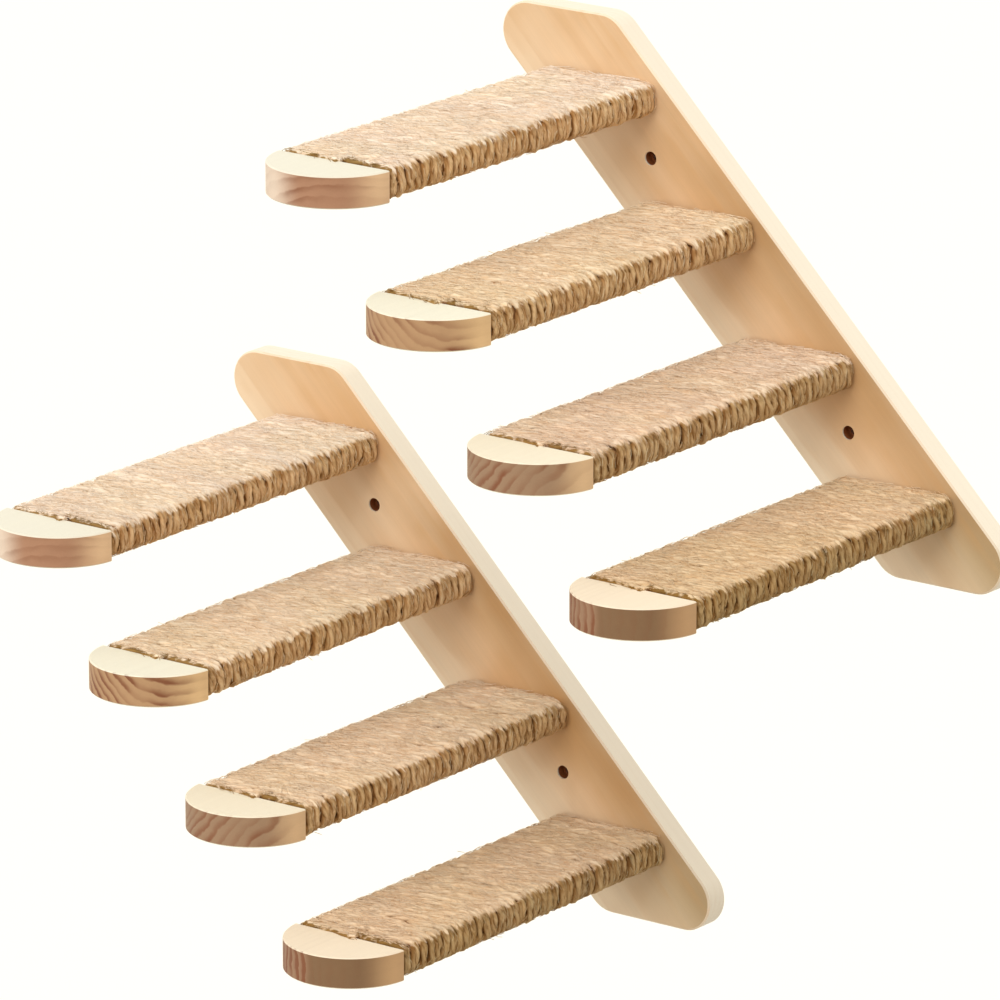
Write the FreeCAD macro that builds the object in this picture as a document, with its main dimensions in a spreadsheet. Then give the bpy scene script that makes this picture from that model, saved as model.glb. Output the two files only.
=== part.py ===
import FreeCAD, Part

import math
import os

import Sketcher
from FreeCAD import Vector

# A pair of wall-mounted climbing ladders for a cat. Each has a sloped pine board that is screwed to the wall
# and four pine steps that stick out level from it. A step ends in a half-round cap, and behind the cap it is
# cut down all round to a core, which one rope is wound on.
# X runs right along the wall, Y into it and Z up. The origin is on the wall, in the upper ladder's upper hole.

SIZES = [
    ("tread_rise", 68.0, "height from one tread to the next"),
    ("tread_run", 68.0, "way along the wall from one step to the next"),
    ("pair_shift", 196.0, "way along the wall from the upper ladder back to the lower one"),
    ("pair_drop", 236.0, "height from the lower ladder up to the upper one"),
    ("step_length", 280.0, "from the board's front face to the tip of the cap"),
    ("step_width", 76.0, "across the cap"),
    ("step_thickness", 18.0, "of the cap"),
    ("cap_length", 36.0, "from the tip of the cap back to its shoulder"),
    ("edge_break", 0.6, "chamfer round the cap's two rims"),
    ("core_edge_bevel", 1.2, "chamfer along the four long edges under the rope"),
    ("board_thickness", 15.0, "of the wall board"),
    ("board_margin", 35.0, "board above the top step and below the lowest one"),
    ("board_side_margin", 13.0, "board beside each step, measured level"),
    ("board_corner_radius", 18.0, "of the board's four corners"),
    ("board_edge_bevel", 1.0, "chamfer round the board's front face"),
    ("wall_hole_diameter", 5.0, "bore for a wall screw"),
    ("wall_head_diameter", 8.0, "wider front part of that bore"),
    ("wall_head_depth", 6.0, "depth of the wider part"),
    ("rope_thickness", 5.2, "how far the rope stands off its seat"),
    ("rope_gap", 0.5, "between one turn and the next"),
    ("rope_seat", 0.3, "between the rope and the wood"),
    ("rope_bend_radius", 2.0, "inside of the rope where it turns on to the tread and off it"),
    ("rope_proud_top", 1.5, "rope above the cap's top face"),
    ("rope_proud_side", 0.5, "rope past the cap's sides and its under face"),
    ("screw_length", 40.0, "from the head's face to the point"),
    ("screw_diameter", 3.5, "of the shank"),
    ("screw_head_diameter", 8.0, "of the low flat head"),
    ("screw_head_height", 2.0, "from the head's face to its underside"),
    ("screw_spread", 36.0, "between the two screws of a step"),
    ("screw_sink", 0.5, "head's face below the board's back"),
    ("screw_clearance", 0.1, "round a screw in its hole and past its point"),
    ("cut_overrun", 4.0, "how far a cut runs past the wood"),
]
STEP_COUNT = 4
ROPE_TURNS = 24
# The hidden screws and their holes are drawn with this many flats
SCREW_SIDES = 8

# Width of the rope's outer face as a share of its width on the core
ROPE_CROWN_SHARE = 0.56
# Points measured along each straight run of the rope
GAP_SAMPLES = 24
# Facets whose two halves differ by less than this, in radians, are flat
FLAT_ANGLE = 1e-6

# Sizes that several pieces follow, worked out from the sheet
WRAP_LENGTH = "(Sizes.step_length - Sizes.cap_length)"
TOP_RECESS = "(Sizes.rope_thickness + Sizes.rope_seat - Sizes.rope_proud_top)"
SIDE_RECESS = "(Sizes.rope_thickness + Sizes.rope_seat - Sizes.rope_proud_side)"
CORE_WIDTH = f"(Sizes.step_width - 2 * {SIDE_RECESS})"
CORE_HEIGHT = f"(Sizes.step_thickness - {TOP_RECESS} - {SIDE_RECESS})"
CORE_RISE = f"(({SIDE_RECESS} - {TOP_RECESS}) / 2)"
BOARD_HEIGHT = f"({STEP_COUNT - 1} * Sizes.tread_rise + Sizes.step_thickness + 2 * Sizes.board_margin)"
BOARD_WIDTH = "(Sizes.step_width + 2 * Sizes.board_side_margin)"
BOARD_LEAN = f"({BOARD_HEIGHT} * Sizes.tread_run / Sizes.tread_rise)"
SCREW_HOLE = "(Sizes.screw_diameter + 2 * Sizes.screw_clearance)"
SCREW_HEAD_HOLE = "(Sizes.screw_head_diameter + 2 * Sizes.screw_clearance)"
SCREW_REACH = "(Sizes.screw_length + Sizes.screw_sink - Sizes.board_thickness + Sizes.screw_clearance)"

# Centre of each ladder's board on the wall
LADDERS = {
    "upper": ("Sizes.tread_run", "-Sizes.tread_rise"),
    "lower": ("Sizes.tread_run - Sizes.pair_shift", "-Sizes.tread_rise - Sizes.pair_drop"),
}

doc = FreeCAD.newDocument("cat_wall_ladders")
sheet = doc.addObject("Spreadsheet::Sheet", "Sizes")


def fill_sheet():
    for row, (alias, number, note) in enumerate(SIZES, start=1):
        sheet.set(f"A{row}", alias)
        sheet.set(f"B{row}", str(number))
        sheet.setAlias(f"B{row}", alias)
        sheet.set(f"C{row}", note)
    doc.recompute()


def value(formula):
    return float(sheet.evalExpression(formula))


def new_body(label, x, y, z):
    # Body whose own origin lies at a place on the wall given by three expressions
    body = doc.addObject("PartDesign::Body", label)
    body.Label = label
    body.setExpression(".Placement.Base.x", x)
    body.setExpression(".Placement.Base.y", y)
    body.setExpression(".Placement.Base.z", z)
    return body


def attach(item, body, role, x="0", y="0", z="0"):
    # On one of the body's origin planes, at a place in it and off it given by three expressions
    plane = next(feature for feature in body.Origin.OriginFeatures if feature.Role == role)
    item.AttachmentSupport = [(plane, "")]
    item.MapMode = "FlatFace"
    for axis, formula in zip("xyz", (x, y, z)):
        item.setExpression(f".AttachmentOffset.Base.{axis}", formula)


def new_sketch(body, role, name, offset="0"):
    sketch = body.newObject("Sketcher::SketchObject", f"{body.Name}_{name}")
    attach(sketch, body, role, z=offset)
    return sketch


def add_prism(body, kind, name, place, diameter, length):
    # Many-sided rod, added or cut, that runs out from the body's wall side
    prism = body.newObject(f"PartDesign::{kind}Prism", f"{body.Name}_{name}")
    attach(prism, body, "XZ_Plane", *place)
    prism.Polygon = SCREW_SIDES
    prism.setExpression("Circumradius", f"{diameter} / 2")
    prism.setExpression("Height", length)
    return prism


def new_feature(body, kind, name, profile=None):
    feature = body.newObject(f"PartDesign::{kind}", f"{body.Name}_{name}")
    if profile:
        feature.Profile = profile
        profile.Visibility = False
    return feature


def drive(sketch, name, formula, *constraint):
    index = sketch.addConstraint(Sketcher.Constraint(*constraint, value(formula)))
    sketch.renameConstraint(index, name)
    sketch.setExpression(f"Constraints.{name}", formula)


def join(sketch, kind, pairs):
    # Ends of one piece of outline on starts of the next
    for first, second in pairs:
        sketch.addConstraint(Sketcher.Constraint(kind, first, 2, second, 1))


def line(sketch, start, end):
    return sketch.addGeometry(Part.LineSegment(Vector(*start, 0), Vector(*end, 0)))


def arc(sketch, centre, radius, start_angle, end_angle):
    full = Part.Circle(Vector(*centre, 0), Vector(0, 0, 1), radius)
    return sketch.addGeometry(Part.ArcOfCircle(full, start_angle, end_angle))


def add_circle(sketch, name, x, y, diameter):
    centre = Vector(value(x), value(y), 0)
    index = sketch.addGeometry(Part.Circle(centre, Vector(0, 0, 1), value(diameter) / 2))
    drive(sketch, f"{name}_x", x, "DistanceX", -1, 1, index, 3)
    drive(sketch, f"{name}_y", y, "DistanceY", -1, 1, index, 3)
    drive(sketch, f"{name}_diameter", diameter, "Diameter", index)


def add_rectangle(sketch, name, width, height, rise):
    # Level rectangle on the sketch's upright axis, its centre raised by rise
    half_width = value(width) / 2
    low = value(rise) - value(height) / 2
    high = value(rise) + value(height) / 2
    corners = [(-half_width, low), (half_width, low), (half_width, high), (-half_width, high)]
    sides = [line(sketch, start, end) for start, end in zip(corners, corners[1:] + corners[:1])]
    join(sketch, "Coincident", zip(sides, sides[1:] + sides[:1]))
    for side, direction in zip(sides[1:], ("Vertical", "Horizontal", "Vertical")):
        sketch.addConstraint(Sketcher.Constraint(direction, side))
    sketch.addConstraint(Sketcher.Constraint("Symmetric", sides[0], 1, sides[0], 2, -2))
    drive(sketch, f"{name}_width", width, "DistanceX", sides[0], 1, sides[0], 2)
    drive(sketch, f"{name}_height", height, "DistanceY", sides[1], 1, sides[1], 2)
    drive(sketch, f"{name}_top", f"{rise} + {height} / 2", "DistanceY", -1, 1, sides[2], 1)


def step_place(number):
    # Steps to the right of the ladder's middle and, as often, below it
    return number - (STEP_COUNT + 1) / 2


def board_outline(body):
    # Leaning parallelogram about the body's origin, level at its top and bottom
    sketch = new_sketch(body, "XZ_Plane", "outline")
    half_width, half_height, half_lean = (value(size) / 2 for size in (BOARD_WIDTH, BOARD_HEIGHT, BOARD_LEAN))
    corners = [
        (half_lean - half_width, -half_height),
        (half_lean + half_width, -half_height),
        (half_width - half_lean, half_height),
        (-half_width - half_lean, half_height),
    ]
    sides = [line(sketch, start, end) for start, end in zip(corners, corners[1:] + corners[:1])]
    join(sketch, "Coincident", zip(sides, sides[1:] + sides[:1]))
    sketch.addConstraint(Sketcher.Constraint("Horizontal", sides[0]))
    for first, opposite in ((0, 2), (1, 3)):
        sketch.addConstraint(Sketcher.Constraint("Symmetric", sides[first], 1, sides[opposite], 1, -1, 1))
    drive(sketch, "width", BOARD_WIDTH, "DistanceX", sides[0], 1, sides[0], 2)
    drive(sketch, "height", BOARD_HEIGHT, "DistanceY", sides[1], 1, sides[1], 2)
    drive(sketch, "lean", BOARD_LEAN, "DistanceX", sides[2], 2, sides[0], 1)
    return sketch


def wall_board(ladder):
    x, z = LADDERS[ladder]
    body = new_body(f"{ladder}_wall_board", x, "0", z)
    outline = board_outline(body)
    slab = new_feature(body, "Pad", "slab", outline)
    slab.setExpression("Length", "Sizes.board_thickness")
    doc.recompute()

    across = [
        f"Edge{index}"
        for index, edge in enumerate(slab.Shape.Edges, start=1)
        if edge.BoundBox.YLength > value("Sizes.board_thickness") / 2
    ]
    corners = new_feature(body, "Fillet", "corners")
    corners.Base = (slab, across)
    corners.setExpression("Radius", "Sizes.board_corner_radius")
    doc.recompute()

    faces = corners.Shape.Faces
    front = min(range(len(faces)), key=lambda index: faces[index].CenterOfMass.y)
    bevel = new_feature(body, "Chamfer", "bevel")
    bevel.Base = (corners, [f"Face{front + 1}"])
    bevel.setExpression("Size", "Sizes.board_edge_bevel")
    doc.recompute()

    wall_sketch = new_sketch(body, "XZ_Plane", "wall_hole_places", "Sizes.board_thickness")
    for name, side in (("upper", -1), ("lower", 1)):
        along = side * (STEP_COUNT / 2 - 1)
        add_circle(
            wall_sketch, name, f"{along} * Sizes.tread_run", f"{-along} * Sizes.tread_rise",
            "Sizes.wall_hole_diameter",
        )
    doc.recompute()
    wall_holes = new_feature(body, "Hole", "wall_holes", wall_sketch)
    doc.recompute()
    wall_holes.DepthType = "ThroughAll"
    wall_holes.HoleCutType = "Counterbore"
    wall_holes.HoleCutCustomValues = True
    wall_holes.setExpression("Diameter", "Sizes.wall_hole_diameter")
    wall_holes.setExpression("HoleCutDiameter", "Sizes.wall_head_diameter")
    wall_holes.setExpression("HoleCutDepth", "Sizes.wall_head_depth")
    doc.recompute()

    # The topmost step's screw holes, then the same down the slope for every other step
    holes = []
    for name, side in (("left", -1), ("right", 1)):
        place = (
            f"{step_place(1)} * Sizes.tread_run + {side} * Sizes.screw_spread / 2",
            f"{-step_place(1)} * Sizes.tread_rise + {CORE_RISE}",
            "-Sizes.cut_overrun",
        )
        through = "Sizes.board_thickness + 2 * Sizes.cut_overrun"
        head = "Sizes.screw_sink + Sizes.screw_head_height + Sizes.cut_overrun"
        holes.append(add_prism(body, "Subtractive", f"screw_hole_{name}", place, SCREW_HOLE, through))
        holes.append(add_prism(body, "Subtractive", f"head_recess_{name}", place, SCREW_HEAD_HOLE, head))
    doc.recompute()
    down_slope = new_feature(body, "LinearPattern", "screw_holes")
    down_slope.Originals = holes
    down_slope.Direction = (outline, ["Edge4"])
    down_slope.Occurrences = STEP_COUNT
    down_slope.setExpression("Length", f"{STEP_COUNT - 1} * sqrt(Sizes.tread_run ^ 2 + Sizes.tread_rise ^ 2)")
    body.Tip = down_slope
    doc.recompute()
    return body


def step_outline(body):
    # Board with a half-round end, seen from above, its square end on the body's origin
    sketch = new_sketch(body, "XY_Plane", "outline")
    radius = value("Sizes.step_width") / 2
    straight = value("Sizes.step_length") - radius
    root = line(sketch, (radius, 0), (-radius, 0))
    left = line(sketch, (-radius, 0), (-radius, -straight))
    tip = arc(sketch, (0, -straight), radius, math.pi, 2 * math.pi)
    right = line(sketch, (radius, -straight), (radius, 0))
    join(sketch, "Coincident", ((root, left), (right, root)))
    join(sketch, "Tangent", ((left, tip), (tip, right)))
    sketch.addConstraint(Sketcher.Constraint("Horizontal", root))
    sketch.addConstraint(Sketcher.Constraint("Vertical", left))
    sketch.addConstraint(Sketcher.Constraint("Symmetric", root, 1, root, 2, -1, 1))
    drive(sketch, "width", "Sizes.step_width", "DistanceX", root, 2, root, 1)
    drive(sketch, "straight", "Sizes.step_length - Sizes.step_width / 2", "DistanceY", left, 2, left, 1)
    return sketch


def step_board(ladder, number):
    x, z = LADDERS[ladder]
    along = step_place(number)
    body = new_body(
        f"{ladder}_step_board_{number}", f"{x} + {along} * Sizes.tread_run", "-Sizes.board_thickness",
        f"{z} - {along} * Sizes.tread_rise",
    )
    blank = new_feature(body, "Pad", "blank", step_outline(body))
    blank.SideType = "Symmetric"
    blank.setExpression("Length", "Sizes.step_thickness")
    doc.recompute()

    flats = [
        f"Face{index}"
        for index, face in enumerate(blank.Shape.Faces, start=1)
        if face.BoundBox.ZLength < value("Sizes.edge_break")
    ]
    rims = new_feature(body, "Chamfer", "rims")
    rims.Base = (blank, flats)
    rims.setExpression("Size", "Sizes.edge_break")
    doc.recompute()

    # The core is what is left inside a ring that is cut away from the square end up to the shoulder
    ring = new_sketch(body, "XZ_Plane", "recess_ring")
    add_rectangle(
        ring, "outside", "(Sizes.step_width + 2 * Sizes.cut_overrun)",
        "(Sizes.step_thickness + 2 * Sizes.cut_overrun)", "0",
    )
    add_rectangle(ring, "core", CORE_WIDTH, CORE_HEIGHT, CORE_RISE)
    recess = new_feature(body, "Pocket", "recess", ring)
    recess.Reversed = True
    recess.setExpression("Length", WRAP_LENGTH)
    doc.recompute()

    long_edges = [
        f"Edge{index}"
        for index, edge in enumerate(recess.Shape.Edges, start=1)
        if edge.BoundBox.YLength > value(WRAP_LENGTH) - value("Sizes.edge_break")
    ]
    core_edges = new_feature(body, "Chamfer", "core_edges")
    core_edges.Base = (recess, long_edges)
    core_edges.setExpression("Size", "Sizes.core_edge_bevel")
    doc.recompute()

    for name, side in (("left", -1), ("right", 1)):
        place = (f"{side} * Sizes.screw_spread / 2", CORE_RISE, "-Sizes.cut_overrun")
        add_prism(
            body, "Subtractive", f"pilot_{name}", place, SCREW_HOLE, f"{SCREW_REACH} + Sizes.cut_overrun"
        )
    doc.recompute()
    return body


def step_screws(ladder, number):
    # Pair of flat-headed wood screws, driven from behind the wall board into the core
    x, z = LADDERS[ladder]
    along = step_place(number)
    body = new_body(
        f"{ladder}_step_screws_{number}", f"{x} + {along} * Sizes.tread_run", "0",
        f"{z} - {along} * Sizes.tread_rise",
    )
    for name, side in (("left", -1), ("right", 1)):
        place = (f"{side} * Sizes.screw_spread / 2", CORE_RISE, "Sizes.screw_sink")
        add_prism(body, "Additive", f"shank_{name}", place, "Sizes.screw_diameter", "Sizes.screw_length")
        add_prism(
            body, "Additive", f"head_{name}", place, "Sizes.screw_head_diameter", "Sizes.screw_head_height"
        )
    doc.recompute()
    return body


def rope_pitch():
    return (value(WRAP_LENGTH) - 2 * value("Sizes.rope_seat") + value("Sizes.rope_gap")) / ROPE_TURNS


def rope_section():
    # Places along the step and heights above the seat: wide on the core, narrower at the crown
    half = (rope_pitch() - value("Sizes.rope_gap")) / 2
    crown = half * ROPE_CROWN_SHARE
    height = value("Sizes.rope_thickness")
    return [(-half, 0), (half, 0), (crown, height), (-crown, height)]


def rope_turns():
    # The rope's section at every bend, turn by turn. The rope starts in the middle of the tread with a cut end
    # and runs left, down, under the step and up its right side, all at one distance from the cap. On the right
    # half of the tread it moves back by one pitch, to pass behind the turn before, and the last turn ends at
    # the top of the right side.
    radius = value("Sizes.rope_bend_radius")
    corner_x = value(CORE_WIDTH) / 2 - radius
    corner_z = value(CORE_HEIGHT) / 2 - radius
    seat = value("Sizes.rope_seat")
    slant = math.tan(math.pi / 8)
    first_y = seat - value(WRAP_LENGTH) + (rope_pitch() - value("Sizes.rope_gap")) / 2

    # Each bend: the core's corner that it goes round, and the way outwards from there
    middle = (0, 1, 0, 1)
    left_side = [(-1, 1, -slant, 1), (-1, 1, -1, slant), (-1, -1, -1, -1)]
    right_side = [(1, -1, 1, -1), (1, 1, 1, slant), (1, 1, slant, 1)]
    last_end = (1, 1, 1, 0)

    turns = []
    for turn in range(ROPE_TURNS):
        bends = [middle] + left_side + right_side
        if turn == ROPE_TURNS - 1:
            bends = [middle] + left_side + right_side[:1] + [last_end]
        y = first_y + rope_pitch() * turn
        rings = []
        for across, up, out_x, out_z in bends:
            ring = []
            for along, height in rope_section():
                reach = radius + seat + height
                x = across * corner_x + out_x * reach
                z = value(CORE_RISE) + up * corner_z + out_z * reach
                ring.append(Vector(x, y + along, z))
            rings.append(ring)
        turns.append(rings)
    return turns


def edge_points(rings, corner):
    # Points along one of the rope's long edges
    points = []
    for ring, following in zip(rings, rings[1:]):
        run = following[corner] - ring[corner]
        points += [ring[corner] + run * (sample / GAP_SAMPLES) for sample in range(GAP_SAMPLES)]
    return points


def least_rope_gap(turns):
    # From the back edge of each turn to the front edge of the next one
    gaps = []
    for turn, following in zip(turns, turns[1:]):
        back = edge_points(turn + following[:1], 1)
        front = edge_points(following, 0)
        gaps.append(min(point.distanceToPoint(other) for point in back for other in front))
    return min(gaps)


def rope_solid(turns):
    # Flat facets from one section to the next, in two triangles where the rope slants
    rings = [ring for turn in turns for ring in turn]
    outlines = [rings[0], rings[-1]]
    for ring, following in zip(rings, rings[1:]):
        for index in range(len(ring)):
            a, b, c, d = ring[index - 1], ring[index], following[index], following[index - 1]
            if (b - a).cross(c - a).getAngle((b - a).cross(d - a)) < FLAT_ANGLE:
                outlines.append([a, b, c, d])
            else:
                outlines += [[a, b, c], [a, c, d]]
    shell = Part.makeShell([Part.Face(Part.makePolygon(outline + outline[:1])) for outline in outlines])
    solid = Part.makeSolid(shell)
    return solid if solid.Volume > 0 else solid.reversed()


def rope_wrap(ladder, number, solid):
    x, z = LADDERS[ladder]
    along = step_place(number)
    wrap = doc.addObject("Part::Feature", f"{ladder}_rope_wrap_{number}")
    wrap.Label = f"{ladder}_rope_wrap_{number}"
    wrap.Shape = solid.copy()
    wrap.Placement.Base = Vector(
        value(f"{x} + {along} * Sizes.tread_run"),
        value("-Sizes.board_thickness"),
        value(f"{z} - {along} * Sizes.tread_rise"),
    )
    return wrap


def check(pieces):
    doc.recompute()
    failed = [item.Name for item in doc.Objects if "Invalid" in item.State or "Error" in item.State]
    if failed:
        raise RuntimeError(f"failed: {failed}")
    for piece in pieces:
        if piece.Shape.isNull() or not piece.Shape.isValid():
            raise RuntimeError(f"bad shape: {piece.Label}")


def main():
    fill_sheet()
    turns = rope_turns()
    gap = least_rope_gap(turns)
    print(f"least gap from the rope to itself: {gap:.3f} mm in {ROPE_TURNS} turns")
    winding = rope_solid(turns)
    pieces = []
    for ladder in LADDERS:
        pieces.append(wall_board(ladder))
        for number in range(1, STEP_COUNT + 1):
            pieces.append(step_board(ladder, number))
            pieces.append(rope_wrap(ladder, number, winding))
            pieces.append(step_screws(ladder, number))
    check(pieces)
    os.makedirs("parts", exist_ok=True)
    for piece in pieces:
        piece.Shape.exportStep(f"parts/{piece.Label}.step")
        print(f"{piece.Label}: {piece.Shape.Volume:.0f} cubic mm in {len(piece.Shape.Solids)} solid")


main()
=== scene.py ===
import math
import random

import bmesh
import bpy
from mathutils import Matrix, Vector


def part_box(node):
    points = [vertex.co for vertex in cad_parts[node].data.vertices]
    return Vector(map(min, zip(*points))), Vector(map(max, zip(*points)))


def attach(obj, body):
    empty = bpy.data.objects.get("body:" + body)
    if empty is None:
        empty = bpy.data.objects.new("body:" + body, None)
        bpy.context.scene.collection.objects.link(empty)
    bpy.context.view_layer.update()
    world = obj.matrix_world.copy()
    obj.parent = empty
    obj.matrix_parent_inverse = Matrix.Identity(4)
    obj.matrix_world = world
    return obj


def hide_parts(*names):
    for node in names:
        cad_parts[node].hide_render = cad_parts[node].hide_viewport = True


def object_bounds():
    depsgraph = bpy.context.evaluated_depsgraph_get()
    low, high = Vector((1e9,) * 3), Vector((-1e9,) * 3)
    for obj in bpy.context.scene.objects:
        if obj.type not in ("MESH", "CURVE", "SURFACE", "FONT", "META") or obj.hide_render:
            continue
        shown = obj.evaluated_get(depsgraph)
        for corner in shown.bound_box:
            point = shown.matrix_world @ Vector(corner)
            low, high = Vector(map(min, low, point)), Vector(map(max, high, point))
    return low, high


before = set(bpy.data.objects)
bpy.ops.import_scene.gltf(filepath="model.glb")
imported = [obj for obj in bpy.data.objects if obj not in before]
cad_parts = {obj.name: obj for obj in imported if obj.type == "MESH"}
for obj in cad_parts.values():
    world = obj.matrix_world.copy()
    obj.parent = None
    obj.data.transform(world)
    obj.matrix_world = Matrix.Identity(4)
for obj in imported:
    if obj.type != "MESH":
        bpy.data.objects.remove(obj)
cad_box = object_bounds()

# A pair of wall ladders: pine boards, and steps that are wound with jute rope.
# X runs right along the wall, Y into it and Z up. Lengths are metres.

LADDERS = ("upper", "lower")
STEPS = (1, 2, 3, 4)
FULL_TURN = 2 * math.pi
WHITE = (1.0, 1.0, 1.0, 1.0)

# The photograph's viewing direction, and where its middle lies beside the anchor
CAMERA_TURN = math.radians(36.8722)
CAMERA_RISE = math.radians(16.3237)
CAMERA_DISTANCE = 5.0
CAMERA_ANCHOR = Vector((0.068, 0.0, -0.059))
CAMERA_RIGHT = -0.147477
CAMERA_UP = -0.125956
CAMERA_LENS = 323.1
CAMERA_SENSOR = 36.0
CAMERA_REACH = 50.0

# Each light's name, strength and width in degrees, and the way from the ladders towards it
SUNS = (
    ("key", 1.77, 46.0, (0.20, -0.86, 1.0)),
    ("fill", 0.43, 30.0, (-0.60, -1.0, 0.12)),
)
# Of the floor and of the world, the colour that lights the ladders and the one that is seen
FLOOR_TONES = ((0.50, 0.47, 0.43, 1.0), (0.97, 0.97, 0.90, 1.0))
WORLD_TONES = ((0.75, 0.71, 0.65, 1.0), (1.0, 1.0, 0.97, 1.0))
FLOOR_HALF_SIZE = 40.0
FLOOR_DROP = 6.0

ROPE_THICKNESS = 0.0052
ROPE_TURNS = 37
ROPE_STRANDS = 3
ROPE_BEND = 0.0042
ROPE_FACET = 0.0024
# Left open between the shoulder and the first turn
ROPE_GAP = 0.0016
# Along the rope, from its cut end to the middle of the tread again
FIRST_TURN_LENGTH = 0.165
# The length in which the fibres of a strand turn once
FIBRE_LAY = 0.016
# How far along its pitch a turn has come at each of its corners
ROPE_DRIFT = (0.0, 0.0, 0.1, 0.3, 0.4)
# The upright part of the outward direction where a winding's sides end, and where its level faces begin
SIDE_TO_LEVEL = (0.2, 0.9)
# How much painted shade darkens the jute of each step, standing in for the light falling off down the ladder
FALLOFF_SHADES = {"upper": (0.0, 0.45, 0.85, 1.0), "lower": (0.0, 0.3, 0.6, 0.95)}

SCREW_SIDES = 48
DRIVE_SIDES = 4
SCREW_CORE = 0.0012
SCREW_CREST = 0.00175
THREAD_PITCH = 0.0022


class Wire:
    """A socket in a node tree, on which sums are written as on a number."""

    def __init__(self, tree, socket=None):
        self.tree = tree
        self.socket = socket

    def node(self, kind, settings=None, inputs=None, output=0):
        """A new node: its settings, then the values or wires of its sockets, and the output that it gives."""
        made = self.tree.nodes.new(kind)
        for name, setting in (settings or {}).items():
            if name == "stops":
                set_stops(made.color_ramp, setting)
            else:
                setattr(made, name, setting)
        for name, value in (inputs or {}).items():
            if isinstance(value, Wire):
                self.tree.links.new(value.socket, made.inputs[name])
            else:
                made.inputs[name].default_value = value
        return Wire(self.tree, made.outputs[output])

    def output(self, which):
        """Another output of the node that this wire leaves."""
        return Wire(self.tree, self.socket.node.outputs[which])

    def sum(self, operation, *values):
        """What one arithmetic node makes of these values."""
        return self.node("ShaderNodeMath", {"operation": operation}, dict(enumerate(values)))

    def only(self, operation):
        """What one arithmetic node makes of this wire alone."""
        return self.sum(operation, self)

    def __add__(self, other):
        return self.sum("ADD", self, other)

    __radd__ = __add__

    def __sub__(self, other):
        return self.sum("SUBTRACT", self, other)

    def __rsub__(self, other):
        return self.sum("SUBTRACT", other, self)

    def __mul__(self, other):
        return self.sum("MULTIPLY", self, other)

    __rmul__ = __mul__

    def __truediv__(self, other):
        return self.sum("DIVIDE", self, other)

    def __pow__(self, other):
        return self.sum("POWER", self, other)

    def vector(self, operation, *values, output=0, scale=None):
        """What one vector node makes of these values."""
        sockets = dict(enumerate(values))
        if scale is not None:
            sockets["Scale"] = scale
        return self.node("ShaderNodeVectorMath", {"operation": operation}, sockets, output)

    def combine(self, x, y, z):
        return self.node("ShaderNodeCombineXYZ", None, {0: x, 1: y, 2: z})

    def part(self, axis):
        return self.node("ShaderNodeSeparateXYZ", None, {0: self}, axis)

    def between(self, low, high, start=0.0, end=1.0):
        """start where this is at low, end where it is at high, and smoothly from one to the other."""
        return self.node(
            "ShaderNodeMapRange",
            {"interpolation_type": "SMOOTHSTEP"},
            {0: self, 1: low, 2: high, 3: start, 4: end},
        )

    def mix(self, a, b):
        """Colour a where this is 0 and colour b where it is 1."""
        return self.node("ShaderNodeMix", {"data_type": "RGBA"}, {0: self, 6: a, 7: b}, 2)

    def shade(self, colour):
        """colour times this."""
        settings = {"data_type": "RGBA", "blend_type": "MULTIPLY"}
        return self.node("ShaderNodeMix", settings, {0: 1.0, 6: colour, 7: self}, 2)

    def tint(self, colour, tone):
        """colour where this is 0, and colour times tone where it is 1."""
        return self.mix(WHITE, tone).shade(colour)

    def noise(self, place, scale, detail=2.0, roughness=0.5):
        sockets = {"Vector": place, "Scale": scale, "Detail": detail, "Roughness": roughness}
        return self.node("ShaderNodeTexNoise", None, sockets)

    def ramp(self, *stops):
        return self.node("ShaderNodeValToRGB", {"stops": stops}, {0: self})


def set_stops(ramp, stops):
    """Gives a colour ramp these stops, each a place and a colour."""
    while len(ramp.elements) < len(stops):
        ramp.elements.new(0.5)
    for element, (place, colour) in zip(ramp.elements, stops):
        element.position = place
        element.color = colour


def rgb(red, green, blue):
    """A colour written as screen numbers from 0 to 255."""
    linear = [((c / 255 + 0.055) / 1.055) ** 2.4 if c > 10 else c / 255 / 12.92 for c in (red, green, blue)]
    return (*linear, 1.0)


def new_material(name):
    """A material, a wire that its pattern starts from, and its shader."""
    material = bpy.data.materials.new(name)
    material.use_nodes = True
    tree = material.node_tree
    return material, Wire(tree), tree.nodes["Principled BSDF"]


def feed(wire, shader, socket):
    wire.tree.links.new(wire.socket, shader.inputs[socket])


def bump(height, strength, distance):
    return height.node("ShaderNodeBump", None, {"Strength": strength, "Distance": distance, "Height": height})


def object_place(start):
    """Where a point lies in its object."""
    return start.node("ShaderNodeTexCoord", None, None, 3)


def attribute(start, name):
    """The number that a mesh carries under that name."""
    return start.node("ShaderNodeAttribute", {"attribute_name": name}, None, 2)


# How much of the wood is late wood, from the start of one ring to the start of the next
RING_PROFILE = ((0.0, 0.0), (0.35, 0.15), (0.72, 0.9), (0.85, 1.0), (0.95, 0.35), (1.0, 0.0))
# What end grain is multiplied by where its rings have faded, and how strong they still are there
FADED_TINT = (0.64, 0.62, 0.51, 1.0)
FADED_STRENGTH = 0.16
# Painted shadow on a wall board's foot at the left and at the right, and the tint of painted shade on its
# right margin
FOOT_SHADOW_TONES = (rgb(206, 184, 150), rgb(192, 166, 126))
MARGIN_SHADE_TINT = (0.81, 0.79, 0.74, 1.0)
PALE_END_TONE = rgb(236, 216, 194)
# Painted shade: the wood under the rope is painted warm brown, so the gaps between turns look deep.
COVERED_SHADE_TONE = rgb(200, 152, 100)
# Burnt wood and painted shade inside the wall holes.
BURNT_AND_SHADED_BORE_TONE = rgb(132, 74, 36)
# A drilled wall ends at this radius, starts behind the board's front and stops before its back
DRILLED_RADIUS = (0.00402, 0.00412)
DRILLED_FRONT = (-0.0144, -0.0135)
DRILLED_BACK = (-0.0006, -0.0004)


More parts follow.
